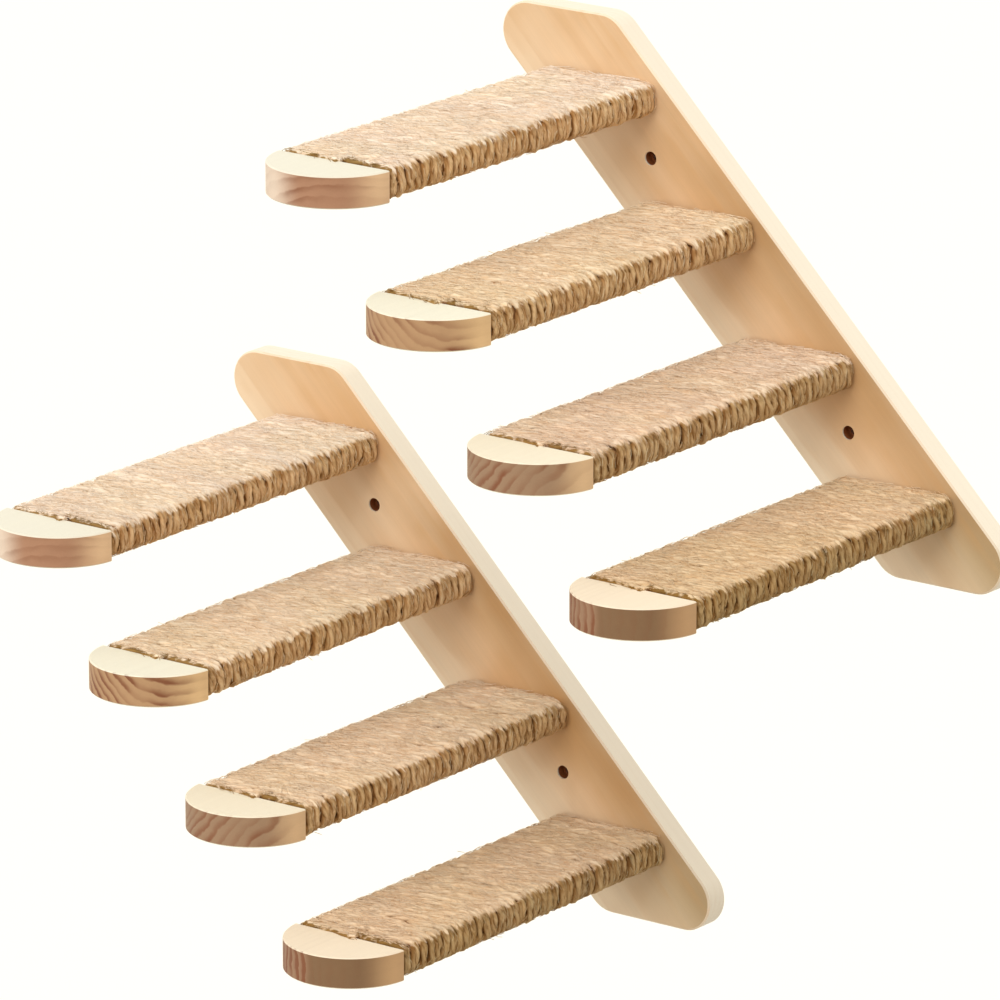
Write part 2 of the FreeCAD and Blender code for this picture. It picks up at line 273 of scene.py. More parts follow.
def board_body(warm, height, up, sap, warmth, face, late):
    """A wall board's body colour: pale sapwood along the left edge and warmer wood beside it, with painted
    shade that darkens it lower down and along its right margin, and a painted shadow that makes its foot
    greyer.

    height and up lead from the board's middle, upward and across the grain to the upper right."""
    heartwood = (up + (height + 0.07) * 0.12).between(*sap)
    right = up.between(0.0, 0.036)
    # Painted shade: the board is darker and warmer lower down.
    lower = height.between(-0.02, 0.10, 0.14, 0.0)
    top = height.between(0.07, 0.11, 0.0, 0.04)
    warm = (warm * 0.4 + 0.48 + lower + right * 0.15) * heartwood + top
    # Painted shadow: the board's foot below the lowest step is greyer.
    foot_shadow = height.between(-0.07, -0.135, 0.0, 0.9) * (heartwood * 0.85 + 0.15)
    body = foot_shadow.mix((warm * warmth).mix(face, late), right.mix(*FOOT_SHADOW_TONES))
    # Painted shade: the right margin below the top is darker.
    margin_shade = up.between(0.002, 0.034) * height.between(0.085, 0.055)
    return margin_shade.tint(body, MARGIN_SHADE_TINT)


def pine(name, turn, heart, ring, tones, pale_where, warmth, strengths, fade, sap=None, holes=(),
         pale_end=None, covered_from=None):
    """Pine whose grain runs along the local X of a pattern that is turned and centred on the tree's heart.

    ring is how wide a ring is. tones are the colours of a plain face, a pale one, end grain and late wood.
    Faces are pale where the normal's part on an axis goes from one number to another: pale_where gives these
    three. The pale faces are partly sanded wood and partly painted light, which makes the level faces of the
    steps and the edges of the board paler. warmth is how far the warmest patches go towards late wood.
    strengths are those of the rings on a face, what end grain adds, and how much one ring differs from the
    next. fade holds the two distances from the heart between which the rings fade, and their strength before
    that. sap makes it a wall board, and is where the sapwood ends across the grain. holes are the X and Z of
    drilled holes, whose walls are painted dark: burnt wood and painted shade.
    pale_end is the X where end grain begins to turn pale and the X where it is pale. covered_from is the Y
    behind which rope covers the wood."""
    face, pale, end, late = tones
    on_face, on_end, change = strengths
    axis, low, high = pale_where
    material, start, shader = new_material(name)
    place = object_place(start)
    local = start.node("ShaderNodeMapping", {"vector_type": "TEXTURE"}, {1: heart, 2: turn, 0: place})
    along, across, up = (local.part(axis) for axis in (0, 1, 2))

    def grain(fine, long, *settings):
        """Noise that is fine across the grain and long along it."""
        return start.noise(start.combine(across * fine, along * long, up * fine), 1.0, *settings)

    wander = grain(22.0, 2.5)
    wobble = grain(110.0, 12.0, 3.0)
    fibre = grain(1500.0, 40.0, 3.0, 0.6)
    streak = grain(210.0, 5.0)
    band = grain(40.0, 3.0, 1.0).between(0.42, 0.72)
    cloud = start.noise(place, 15.0, 1.0).between(0.36, 0.66)
    patch = start.noise(place, 45.0, 1.0).between(0.35, 0.65, 0.25, 1.0)
    reach = (across * across + up * up) ** 0.5
    rings = (reach + (wander - 0.5) * (ring * 3.6) + (wobble - 0.5) * (ring * 0.8)) / ring
    latewood = rings.only("FRACT").ramp(*((stop, (v, v, v, 1.0)) for stop, v in RING_PROFILE))
    ring_tone = start.noise(start.combine(rings.only("FLOOR") * 3.7, along * 1.5, 0.0), 1.0, 0.0)
    normal = start.node("ShaderNodeNewGeometry", None, None, 1)
    turned = start.node("ShaderNodeVectorRotate", {"rotation_type": "EULER_XYZ", "invert": True},
                        {"Vector": normal, "Rotation": turn})
    end_grain = turned.part(0).only("ABSOLUTE").between(0.2, 0.75)
    # Partly sanded wood and partly painted light: faces that turn this way are painted paler.
    sanded_and_lit = normal.part(axis).only("ABSOLUTE").between(low, high)

    warm = cloud * 0.55 + band * 0.45
    if sap:
        body = board_body(warm, place.part(2) - heart[2], up, sap, warmth, face, late)
    else:
        body = (warm * warmth).mix(face, late)
    faded = tuple(tone * tint for tone, tint in zip(end, FADED_TINT))
    body = end_grain.mix(body, reach.between(fade[0], fade[1]).mix(end, faded))
    strength = (on_face + end_grain * on_end) * (1.0 - change / 2 + ring_tone * change)
    strength = strength * patch * (1.0 - sanded_and_lit * 0.85) * reach.between(*fade, FADED_STRENGTH)
    if pale_end:
        paled = place.part(0).between(*pale_end)
        body = (paled * 0.92).mix(body, PALE_END_TONE)
        strength = strength * (1.0 - paled * 0.9)
    colour = (latewood * strength).mix(sanded_and_lit.mix(body, pale), late)
    tint = 1.0 - (1.0 - sanded_and_lit * 0.6) * (0.11 - streak * 0.10 - fibre * 0.10)
    colour = start.combine(tint, tint, tint).shade(colour)
    # Burnt wood and painted shade on the walls of the holes.
    for x, z in holes:
        aside, above = place.part(0) - x, place.part(2) - z
        drilled = ((aside * aside + above * above) ** 0.5).between(*DRILLED_RADIUS, 1.0, 0.0)
        drilled = drilled * place.part(1).between(*DRILLED_FRONT)
        drilled = drilled * place.part(1).between(*DRILLED_BACK, 1.0, 0.0)
        colour = drilled.mix(colour, BURNT_AND_SHADED_BORE_TONE)
    # Painted shade on the wood under the rope, seen in the gaps between turns.
    if covered_from is not None:
        covered_shade = place.part(1).between(covered_from + 0.0002, covered_from + 0.001)
        colour = covered_shade.mix(colour, COVERED_SHADE_TONE)
    feed(colour, shader, "Base Color")
    feed(0.46 + fibre * 0.16 + latewood * 0.05, shader, "Roughness")
    feed(bump(fibre * 0.7 + latewood * 0.4, 0.22, 0.0004), shader, "Normal")
    shader.inputs["Specular IOR Level"].default_value = 0.35
    return material


# The tones of jute, from its darkest fibres to its palest, on the sides of a step and on top of it. The top
# is painted paler as painted light and the sides darker as painted shade.
ROPE_SHADED_SIDE_TONES = ((0.32, rgb(177, 131, 84)), (0.46, rgb(226, 185, 131)), (0.60, rgb(248, 214, 164)),
                   (0.78, rgb(254, 241, 203)))
ROPE_LIT_TOP_TONES = ((0.30, rgb(252, 230, 200)), (0.46, rgb(254, 238, 212)), (0.62, rgb(255, 246, 226)),
                  (0.80, rgb(255, 250, 236)))
# The same for loose fibres: painted light on top, painted shade on the sides.
FUZZ_SHADED_SIDE_TONES = ((0.05, rgb(179, 133, 86)), (0.3, rgb(226, 184, 131)), (0.62, rgb(248, 215, 167)),
                   (0.95, rgb(254, 241, 204)))
FUZZ_LIT_TOP_TONES = ((0.05, rgb(252, 229, 198)), (0.25, rgb(254, 238, 212)), (0.6, rgb(255, 246, 228)),
                  (0.95, rgb(255, 250, 236)))
# The tints below multiply the colour of jute. Painted shade deep between the strands, on the sides and on
# top:
DEEP_SHADE_TINTS = ((0.65, 0.51, 0.36, 1.0), (0.96, 0.90, 0.82, 1.0))
# From patch to patch:
PATCH_TINTS = ((0.999, 0.974, 0.967, 1.0), (0.996, 0.981, 0.948, 1.0))
# Painted shade for the light falling off down the ladder, from the lightest step to the darkest one, on the
# sides and on top:
SIDE_FALLOFF_SHADE_TINTS = ((0.0, (0.91, 0.90, 0.92, 1.0)), (0.45, (0.86, 0.855, 0.86, 1.0)),
                  (0.85, (0.755, 0.765, 0.76, 1.0)), (1.0, (0.62, 0.605, 0.535, 1.0)))
TOP_FALLOFF_SHADE_TINTS = ((0.0, (0.94, 0.912, 0.925, 1.0)), (0.45, (0.925, 0.857, 0.775, 1.0)),
                 (0.85, (0.885, 0.805, 0.76, 1.0)), (1.0, (0.845, 0.745, 0.625, 1.0)))
# Painted shade in gaps on the sides, along the rounded edges of the tread, and on the front of the first
# turn:
GAP_SHADE_TINT = (0.54, 0.42, 0.29, 1.0)
EDGE_SHADE_TINT = (0.72, 0.66, 0.58, 1.0)
FRONT_SHADE_TINT = (0.37, 0.265, 0.12, 1.0)


def face_upward(start, place):
    """1 on top of a winding and 0 on its sides, with a ragged border along the edges of the tread."""
    x, y, z = (place.part(axis) for axis in (0, 1, 2))
    ragged = start.noise(start.combine(y * 420.0 + z * 100.0, x * 90.0, z * 90.0), 1.0, 2.0) - 0.5
    level = attribute(start, "face_up")
    return (level + ragged * level.between(0.995, 0.6, 0.0, 2.2)).between(0.48, 1.0)


def patched_and_shaded(start, upper, place, colour):
    """The colour of jute with its patches, and painted shade: darker lower steps, dark gaps and edges, and
    the first turn's dark front.
    """
    colour = start.noise(place, 17.0, 1.0).between(0.35, 0.65).mix(*PATCH_TINTS).shade(colour)
    # Painted shade: the lower steps are darker.
    age = attribute(start, "age")
    colour = upper.mix(age.ramp(*SIDE_FALLOFF_SHADE_TINTS), age.ramp(*TOP_FALLOFF_SHADE_TINTS)).shade(colour)
    x, y, z = (place.part(axis) for axis in (0, 1, 2))
    # Painted shade in the gaps between turns on the sides.
    gap_shade = start.noise(start.combine(y * 330.0 + z * 120.0, z * 95.0, x * 40.0), 1.0, 2.0, 0.6)
    gap_shade = gap_shade.between(0.34, 0.46, 1.0, 0.0) * upper.between(0.0, 0.6, 0.5, 0.0)
    colour = gap_shade.tint(colour, GAP_SHADE_TINT)
    # Painted shade along the rounded edges of the tread.
    edge_shade = attribute(start, "face_up").between(0.05, 0.4) * upper.between(0.2, 0.85, 0.9, 0.0)
    colour = edge_shade.tint(colour, EDGE_SHADE_TINT)
    # Painted shade on the front of the first turn.
    ragged = attribute(start, "ahead") + (start.noise(place, 260.0, 2.0) - 0.5) * 3.2
    first = attribute(start, "along").between(FIRST_TURN_LENGTH, FIRST_TURN_LENGTH + 0.006, 1.0, 0.0)
    front_shade = ragged.between(0.15, 0.85) * first * upper.between(0.0, 0.6, 0.4, 1.0)
    return front_shade.tint(colour, FRONT_SHADE_TINT)


def jute(name):
    """Jute rope: fine fibres that run along each strand, with painted shade deep between the strands, and
    painted light that makes it pale on top.
    """
    material, start, shader = new_material(name)
    along, around, height, ply = (attribute(start, label) for label in ("along", "around", "height", "ply"))
    place = object_place(start)
    upper = face_upward(start, place)
    angle = (around + along / FIBRE_LAY) * FULL_TURN
    lie = start.combine(angle.only("COSINE") * 1.5, angle.only("SINE") * 1.5, along * 55.0 + ply * 9.3)
    fibre = start.noise(lie, 2.6, 3.0, 0.62)
    strand = start.noise(start.combine(ply * 7.1, along * 60.0, 0.0), 1.0, 2.0)
    patch = start.noise(place, 38.0, 3.0, 0.6)
    tone = fibre * 0.55 + strand * 0.25 + patch * 0.30
    # Painted light on top and painted shade on the sides.
    colour = upper.mix(tone.ramp(*ROPE_SHADED_SIDE_TONES), tone.ramp(*ROPE_LIT_TOP_TONES))
    # Painted shade deep between the strands.
    colour = height.between(0.05, 0.78).mix(upper.mix(*DEEP_SHADE_TINTS), WHITE).shade(colour)
    feed(patched_and_shaded(start, upper, place, colour), shader, "Base Color")
    feed(0.82 + fibre * 0.14, shader, "Roughness")
    feed(bump(fibre, 0.6, 0.0006), shader, "Normal")
    shader.inputs["Specular IOR Level"].default_value = 0.0
    return material


def fuzz_jute(name):
    """Loose jute fibres, each of its own tone, and with painted light that makes them pale on top."""
    material, start, shader = new_material(name)
    place = object_place(start)
    upper = face_upward(start, place)
    patch = start.noise(place, 300.0, 1.0)
    tone = attribute(start, "tone") * 0.8 + patch * 0.2
    # Painted light on top and painted shade on the sides.
    colour = upper.mix(tone.ramp(*FUZZ_SHADED_SIDE_TONES), tone.ramp(*FUZZ_LIT_TOP_TONES))
    feed(patched_and_shaded(start, upper, place, colour), shader, "Base Color")
    feed(0.78 + patch * 0.15, shader, "Roughness")
    shader.inputs["Specular IOR Level"].default_value = 0.0
    return material


def steel(name):
    """Zinc-plated steel with fine turning marks."""
    material, start, shader = new_material(name)
    place = object_place(start)
    mark = start.noise(place, 2600.0, 2.0)
    cloud = start.noise(place, 260.0, 2.0)
    colour = (mark * 0.5 + cloud * 0.5).ramp((0.3, rgb(176, 174, 166)), (0.7, rgb(214, 212, 204)))
    feed(colour, shader, "Base Color")
    feed(0.28 + mark * 0.18, shader, "Roughness")
    feed(bump(mark, 0.15, 0.0001), shader, "Normal")
    shader.inputs["Metallic"].default_value = 1.0
    return material


def new_tree(name, inputs):
    """An empty node tree for shapes: it gives the tree, its start and a wire for each of these inputs."""
    tree = bpy.data.node_groups.new(name, "GeometryNodeTree")
    face = tree.interface
    face.new_socket("Geometry", in_out="INPUT", socket_type="NodeSocketGeometry")
    for label, kind, value in inputs:
        socket = face.new_socket(label, in_out="INPUT", socket_type=f"NodeSocket{kind}")
        if value is not None:
            socket.default_value = value
    face.new_socket("Geometry", in_out="OUTPUT", socket_type="NodeSocketGeometry")
    entry = tree.nodes.new("NodeGroupInput")
    wires = {socket.name: Wire(tree, socket) for socket in entry.outputs if socket.name}
    return tree, Wire(tree), wires


def end_tree(wire, material):
    """Finishes a tree: one plain mesh in that material."""
    real = wire.node("GeometryNodeRealizeInstances", None, {0: wire})
    smooth = wire.node("GeometryNodeSetShadeSmooth", None, {0: real})
    done = wire.node("GeometryNodeSetMaterial", None, {0: smooth, 2: material})
    leave = wire.tree.nodes.new("NodeGroupOutput")
    wire.tree.links.new(done.socket, leave.inputs[0])


def keep(wire, name, kind, value):
    """Geometry with a named attribute on its points."""
    return wire.node(
        "GeometryNodeStoreNamedAttribute",
        {"data_type": kind, "domain": "POINT"},
        {"Geometry": wire, "Name": name, "Value": value},
    )


def kept(start, name, kind="FLOAT"):
    """The named attribute that keep gave to a point."""
    return start.node("GeometryNodeInputNamedAttribute", {"data_type": kind}, {"Name": name})


def grown(name, source, tree, values):
    """A new mesh object: what the tree makes of source with these input values."""
    holder = bpy.data.objects.new(name + "_holder", source)
    bpy.context.scene.collection.objects.link(holder)
    modifier = holder.modifiers.new("shape", "NODES")
    modifier.node_group = tree
    keys = {item.name: item.identifier for item in tree.interface.items_tree if item.in_out == "INPUT"}
    for label, value in values.items():
        modifier[keys[label]] = value
    bpy.context.view_layer.update()
    graph = bpy.context.evaluated_depsgraph_get()
    mesh = bpy.data.meshes.new_from_object(holder.evaluated_get(graph), depsgraph=graph)
    bpy.data.objects.remove(holder)
    mesh.name = name
    return new_object(name, mesh)


def new_object(name, data):
    """A new object in the scene."""
    made = bpy.data.objects.new(name, data)
    bpy.context.scene.collection.objects.link(made)
    return made


def winding_tree():
    """Strands that are laid round each other along a rope's line."""
    tree, start, given = new_tree("rope_winding", [
        ("Bend radius", "Float", ROPE_BEND),
        ("Length of a facet", "Float", ROPE_FACET),
        ("Lay length", "Float", 0.034),
        ("Strand radius", "Float", 0.00158),
        ("Strand rise", "Float", 0.00095),
        ("Strand spread", "Float", 0.00185),
        ("Strand stray", "Float", 0.0042),
        ("Strand lift", "Float", 0.0016),
        ("Strand sides", "Int", 6),
        ("Roughness of strands", "Float", 0.00030),
        ("Age", "Float", 0.5),
        ("Seed", "Float", 0.0),
        ("Material", "Material", None),
    ])
    bent = start.node("GeometryNodeFilletCurve", {"mode": "POLY"}, {
        "Curve": given["Geometry"], "Count": 4, "Radius": given["Bend radius"], "Limit Radius": True})
    line = start.node("GeometryNodeResampleCurve", {"mode": "LENGTH"}, {
        "Curve": bent, "Length": given["Length of a facet"]})

    # Away from the step, and along the step, at each point of the rope's line
    tangent = start.node("GeometryNodeInputTangent")
    outward = tangent.vector("NORMALIZE", tangent.vector("CROSS_PRODUCT", (0.0, 1.0, 0.0), tangent))
    level = tangent.vector("CROSS_PRODUCT", outward, tangent)
    line = keep(line, "outward", "FLOAT_VECTOR", outward)
    line = keep(line, "centre", "FLOAT_VECTOR", start.node("GeometryNodeInputPosition"))
    line = keep(line, "along", "FLOAT", start.node("GeometryNodeSplineParameter", None, None, 1))
    line = keep(line, "tangent", "FLOAT_VECTOR", tangent)
    strands = start.node("GeometryNodeDuplicateElements", {"domain": "SPLINE"}, {
        "Geometry": line, "Amount": ROPE_STRANDS})
    strands = keep(strands, "ply", "FLOAT", strands.output(1))

    ply = kept(start, "ply")
    along = kept(start, "along")
    out_kept = kept(start, "outward", "FLOAT_VECTOR")
    flat = out_kept.part(2).only("ABSOLUTE")

    def wavering(often, apart, shift, detail):
        """Noise that changes along each strand on its own."""
        return start.noise(start.combine(along * often, ply * apart + shift, given["Seed"]), 1.0, detail)

    drift = wavering(60.0, 5.0, 0.0, 1.0)
    stray = wavering(75.0, 11.0, 0.0, 2.0) - 0.5
    lift = wavering(55.0, 7.0, 3.0, 2.0) - 0.5
    swell = wavering(170.0, 3.0, 0.0, 2.0)
    angle = (along / given["Lay length"] + ply / ROPE_STRANDS + drift * 1.1) * FULL_TURN
    rise = angle.only("COSINE") * given["Strand rise"] * flat.between(*SIDE_TO_LEVEL, 1.15, 0.7)
    rise = rise + lift * given["Strand lift"]
    spread = angle.only("SINE") * given["Strand spread"] * flat.between(*SIDE_TO_LEVEL, 0.78, 1.0)
    spread = spread + stray * given["Strand stray"] * flat.between(*SIDE_TO_LEVEL, 1.0, 0.5)
    offset = level.vector("ADD", level.vector("SCALE", out_kept, scale=rise),
                          level.vector("SCALE", level, scale=spread))
    strands = start.node("GeometryNodeSetPosition", None, {"Geometry": strands, "Offset": offset})
    strands = start.node("GeometryNodeSetCurveRadius", None, {0: strands, 2: 0.62 + swell * 0.76})

    ring = start.node("GeometryNodeCurvePrimitiveCircle", {"mode": "RADIUS"}, {
        "Resolution": given["Strand sides"], "Radius": given["Strand radius"]})
    ring = keep(ring, "around", "FLOAT", start.node("GeometryNodeSplineParameter"))
    tube = start.node("GeometryNodeCurveToMesh", None, {
        "Curve": strands, "Profile Curve": ring, "Fill Caps": True})
    place = start.node("GeometryNodeInputPosition")
    normal = start.node("GeometryNodeInputNormal")
    lump = start.noise(place, 900.0, 2.0, 0.6)
    push = normal.vector("SCALE", normal, scale=(lump - 0.5) * given["Roughness of strands"] * 2.0)
    tube = start.node("GeometryNodeSetPosition", None, {"Geometry": tube, "Offset": push})
    out = place.vector("SUBTRACT", place, kept(start, "centre", "FLOAT_VECTOR"))
    high = out.vector("DOT_PRODUCT", out, out_kept, output=1) / (ROPE_THICKNESS / 2)
    tube = keep(tube, "height", "FLOAT", high)
    tube = keep(tube, "face_up", "FLOAT", out_kept.part(2))
    tube = keep(tube, "ahead", "FLOAT", out.part(1) * (-2.0 / ROPE_THICKNESS))
    tube = keep(tube, "age", "FLOAT", given["Age"])
    end_tree(tube, given["Material"])
    return tree


def fuzz_tree():
    """Loose fibres that lie along a winding and wrap round its edges, and a few that stand off it."""
    tree, start, given = new_tree("rope_fuzz", [
        ("Fibres for each square metre", "Float", 90000.0),
        ("Shortest", "Float", 0.005),
        ("Longest", "Float", 0.014),
        ("Fibre radius", "Float", 0.00015),
        ("Slant", "Float", 0.8),
        ("Waviness", "Float", 0.0032),
        ("Share that stands off", "Float", 0.015),
        ("Age", "Float", 0.5),
        ("Middle", "Vector", (0.0, 0.0, 0.0)),
        ("Inner half size", "Vector", (0.0, 0.0, 0.0)),
        ("Outer radius", "Float", 0.0068),
        ("Seed", "Int", 0),
        ("Material", "Material", None),
    ])
    seeds = iter(range(100, 200))

    def draw(low, high):
        """A number of each fibre's own."""
        sockets = {2: low, 3: high, "Seed": next(seeds)}
        return start.node("FunctionNodeRandomValue", {"data_type": "FLOAT"}, sockets, 1)

    height = kept(start, "height")
    flat = kept(start, "face_up").only("ABSOLUTE").between(*SIDE_TO_LEVEL)
    spots = start.node("GeometryNodeDistributePointsOnFaces", None, {
        "Mesh": given["Geometry"], "Selection": height.sum("GREATER_THAN", height, 0.3),
        "Density": given["Fibres for each square metre"] * (flat * 0.15 + 0.85), "Seed": given["Seed"]})
    outward = kept(start, "outward", "FLOAT_VECTOR")
    tangent = kept(start, "tangent", "FLOAT_VECTOR")
    sideways = start.vector("SCALE", start.vector("CROSS_PRODUCT", outward, tangent),
                            scale=draw(-1.0, 1.0) * given["Slant"] * (flat * 0.75 + 0.25))
    loose = draw(0.0, 1.0)
    loose = loose.sum("LESS_THAN", loose, given["Share that stands off"])
    lift = start.vector("SCALE", outward, scale=loose * draw(0.1, 0.45))
    lie = start.vector("ADD", start.vector("ADD", tangent, sideways), lift)
    turn = start.node("FunctionNodeAxesToRotation", {"primary_axis": "X", "secondary_axis": "Z"}, {
        0: lie, 1: outward})
    spots = keep(spots, "tone", "FLOAT", draw(0.0, 1.0))
    spots = keep(spots, "loose", "FLOAT", loose)
    spots = keep(spots, "rise", "FLOAT", draw(-0.0006, 0.0004))
    spots = keep(spots, "own", "FLOAT", draw(0.0, 50.0))
    ends = {"Start": (-0.5, 0.0, 0.0), "End": (0.5, 0.0, 0.0)}
    line = start.node("GeometryNodeCurvePrimitiveLine", None, ends)
    line = start.node("GeometryNodeResampleCurve", {"mode": "COUNT"}, {"Curve": line, "Count": 4})
    hairs = start.node("GeometryNodeInstanceOnPoints", None, {
        "Points": spots, "Instance": line, "Rotation": turn,
        "Scale": draw(given["Shortest"], given["Longest"]) * (flat * 0.5 + 0.5)})
    hairs = start.node("GeometryNodeRealizeInstances", None, {0: hairs})

    place = start.node("GeometryNodeInputPosition")
    shifted = place.vector("ADD", place, start.combine(0.0, kept(start, "own"), 0.0))
    wave = start.node("ShaderNodeTexNoise", None, {"Vector": shifted, "Scale": 150.0, "Detail": 1.0}, 1)
    wave = wave.vector("SUBTRACT", wave, (0.5, 0.5, 0.5))
    wave = wave.vector("SCALE", wave, scale=given["Waviness"] * 2.0)
    hairs = start.node("GeometryNodeSetPosition", None, {"Geometry": hairs, "Offset": wave})

    # The core of the section, from which every resting fibre has one distance
    local = place.vector("SUBTRACT", place, given["Middle"])
    least = place.vector("SCALE", given["Inner half size"], scale=-1.0)
    inner = place.vector("MINIMUM", place.vector("MAXIMUM", local, least), given["Inner half size"])
    away = place.vector("NORMALIZE", place.vector("SUBTRACT", local, inner))
    facing_up = away.part(2)
    below = facing_up.between(-0.9, 0.1, -0.0009, 0.0)
    corner = facing_up.between(0.1, 0.5) * facing_up.between(0.75, 0.99, -0.0005, 0.0)
    reach = given["Outer radius"] + kept(start, "rise") + below + corner
    rest = place.vector("ADD", inner, place.vector("SCALE", away, scale=reach))
    rest = place.vector("ADD", rest, given["Middle"])
    free = kept(start, "loose")
    hairs = start.node("GeometryNodeSetPosition", None, {
        "Geometry": hairs, "Selection": free.sum("LESS_THAN", free, 0.5), "Position": rest})
    hairs = keep(hairs, "face_up", "FLOAT", facing_up)
    behind = place.part(1) - kept(start, "centre", "FLOAT_VECTOR").part(1)
    hairs = keep(hairs, "ahead", "FLOAT", behind * (-2.0 / ROPE_THICKNESS))
    hairs = keep(hairs, "age", "FLOAT", given["Age"])

    bow = start.node("GeometryNodeSplineParameter") * 2.0 - 1.0
    hairs = start.node("GeometryNodeSetCurveRadius", None, {0: hairs, 2: 1.0 - bow * bow * 0.7})
    ring = start.node("GeometryNodeCurvePrimitiveCircle", {"mode": "RADIUS"}, {
        "Resolution": 3, "Radius": given["Fibre radius"]})
    tubes = start.node("GeometryNodeCurveToMesh", None, {
        "Curve": hairs, "Profile Curve": ring, "Fill Caps": True})
    end_tree(tubes, given["Material"])
    return tree


def rope_line(name, low, high, seed):
    """The line of one rope: a curve with a point at each corner of each turn, in the box of its winding.

    A turn goes from mid-tread round the left edge, under the step and up again, and slants back one pitch."""
    draw = random.Random(seed)
    inset = ROPE_THICKNESS / 2
    left, right = low.x + inset, high.x - inset
    bottom, top = low.z + inset, high.z - inset
    middle = (low.x + high.x) / 2
    pitch = (high.y - low.y - ROPE_GAP) / (ROPE_TURNS + 0.4)
    corners = ((middle, top), (left, top), (left, bottom), (right, bottom), (right, top))
    start = draw.uniform(-0.0010, 0.0004)
    points = []

    def back(turns):
        """The rope's Y after that many turns. The first ones are pushed together at the shoulder."""
        return low.y + ROPE_GAP + pitch * max(0.45, turns + 0.5 - 0.4 * math.exp(-(turns / 2.0) ** 2))

    for turn in range(ROPE_TURNS):
        shift = (0.1 if turn in (0, ROPE_TURNS - 1) else 0.3) * pitch
        for (x, z), drift in zip(corners, ROPE_DRIFT):
            slack = draw.uniform(-0.0004, 0.0005)
            points.append((
                x + slack * (x > middle) - slack * (x < middle),
                back(turn + drift) + draw.uniform(-shift, shift),
                z + slack * (z == top) - slack * (z == bottom),
            ))
        if turn == 0:
            points.append((middle + 0.007, back(0.45) + 0.15 * pitch, top))
    # The cut end lies over the shoulder in mid-tread, a little above the first turn
    points[0] = (middle + 0.0035, low.y + start, top + 0.0006)
    points.insert(1, (middle - 0.006, low.y + 0.0022 + start, top + 0.0002))
    points.append((middle, high.y - pitch / 2, top))
    curve = bpy.data.curves.new(name + "_line", "CURVE")
    curve.dimensions = "3D"
    spline = curve.splines.new("POLY")
    spline.points.add(len(points) - 1)
    for point, place in zip(spline.points, points):
        point.co = (*place, 1.0)
    return curve


def make_wraps(ladder, winding_nodes, fuzz_nodes, rope, fuzz):
    """The rope round each step, and the loose fibres on it."""
    radius = ROPE_BEND + ROPE_THICKNESS / 2
    for step, age in zip(STEPS, FALLOFF_SHADES[ladder]):
        node = f"{ladder}_rope_wrap_{step}"
        low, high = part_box(node)
        seed = STEPS.index(step) + 10 * LADDERS.index(ladder)
        line = rope_line(node, low, high, seed)
        winding = grown(f"{ladder}_rope_winding_{step}", line, winding_nodes, {
            "Material": rope, "Seed": float(seed), "Age": age})
        hairs = grown(f"{ladder}_rope_fuzz_{step}", winding.data.copy(), fuzz_nodes, {
            "Material": fuzz, "Seed": seed, "Age": age, "Middle": (low + high) / 2,
            "Inner half size": (high - low) / 2 - Vector((radius, 0.0, radius)), "Outer radius": radius})
        for piece in (winding, hairs):
            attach(piece, "root")
        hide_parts(node)


def ring_of(mesh, centre, radius, depth, sides):
    """A level ring of new corners round centre, at that Y."""
    angles = [math.pi / 4 + FULL_TURN * k / sides for k in range(sides)]
    return [mesh.verts.new((centre.x + radius * math.cos(angle), depth, centre.z + radius * math.sin(angle)))
            for angle in angles]


def add_skin(mesh, rings):
    """Closes a row of rings with faces. A ring has as many corners as the one before, or a multiple."""
    mesh.faces.new(rings[0])
    mesh.faces.new(reversed(rings[-1]))
    for first, second in zip(rings, rings[1:]):
        share = len(second) // len(first)
        for k in range(len(second)):
            one, two = second[k], second[(k + 1) % len(second)]
            base, after = first[k // share], first[(k // share + (k % share == share - 1)) % len(first)]
            mesh.faces.new((base, one, two) if base == after else (base, one, two, after))


def screw_profile(head, top, tip):
    """Radius, Y and sides of each ring of a screw, from the bottom of its drive hole to its tip."""
    drive = [(0.0014, top - 0.0014), (0.0015, top)]
    body = [(head - 0.0006, top), (head, top - 0.0005), (head, top - 0.0016), (head - 0.0004, top - 0.0020),
            (SCREW_CREST, top - 0.0020), (SCREW_CREST, top - 0.014)]
    depth = top - 0.0145
    while depth > tip + 0.006:
        body += [(SCREW_CORE, depth), (SCREW_CREST, depth - 0.0008), (SCREW_CORE, depth - 0.0016)]
        depth -= THREAD_PITCH
    body += [(SCREW_CORE, tip + 0.004), (0.0002, tip)]
    return [(*ring, DRIVE_SIDES) for ring in drive] + [(*ring, SCREW_SIDES) for ring in body]


def make_screws(ladder, material):
    """Pairs of screws with flat round heads and a square drive, in the boxes of the CAD ones."""
    for step in STEPS:
        node = f"{ladder}_step_screws_{step}"
        low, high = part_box(node)
        middle = (low + high) / 2
        head = (high.z - low.z) / 2
        mesh = bmesh.new()
        for side in (-1, 1):
            centre = Vector((middle.x + side * ((high.x - low.x) / 2 - head), 0.0, middle.z))
            add_skin(mesh, [ring_of(mesh, centre, *ring) for ring in screw_profile(head, high.y, low.y)])
        bmesh.ops.recalc_face_normals(mesh, faces=mesh.faces)
        data = bpy.data.meshes.new(f"{ladder}_step_screw_pair_{step}")
        mesh.to_mesh(data)
        mesh.free()
        data.materials.append(material)
        piece = new_object(data.name, data)
        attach(piece, "root")
        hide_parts(node)


def add_sun(name, strength, width, source):
    """Even light from far off. source points from the ladders towards it."""
    data = bpy.data.lights.new(name, "SUN")
    data.energy = strength
    data.angle = math.radians(width)
    lamp = new_object(name, data)
    lamp.rotation_euler = (-Vector(source)).to_track_quat("-Z", "Y").to_euler()


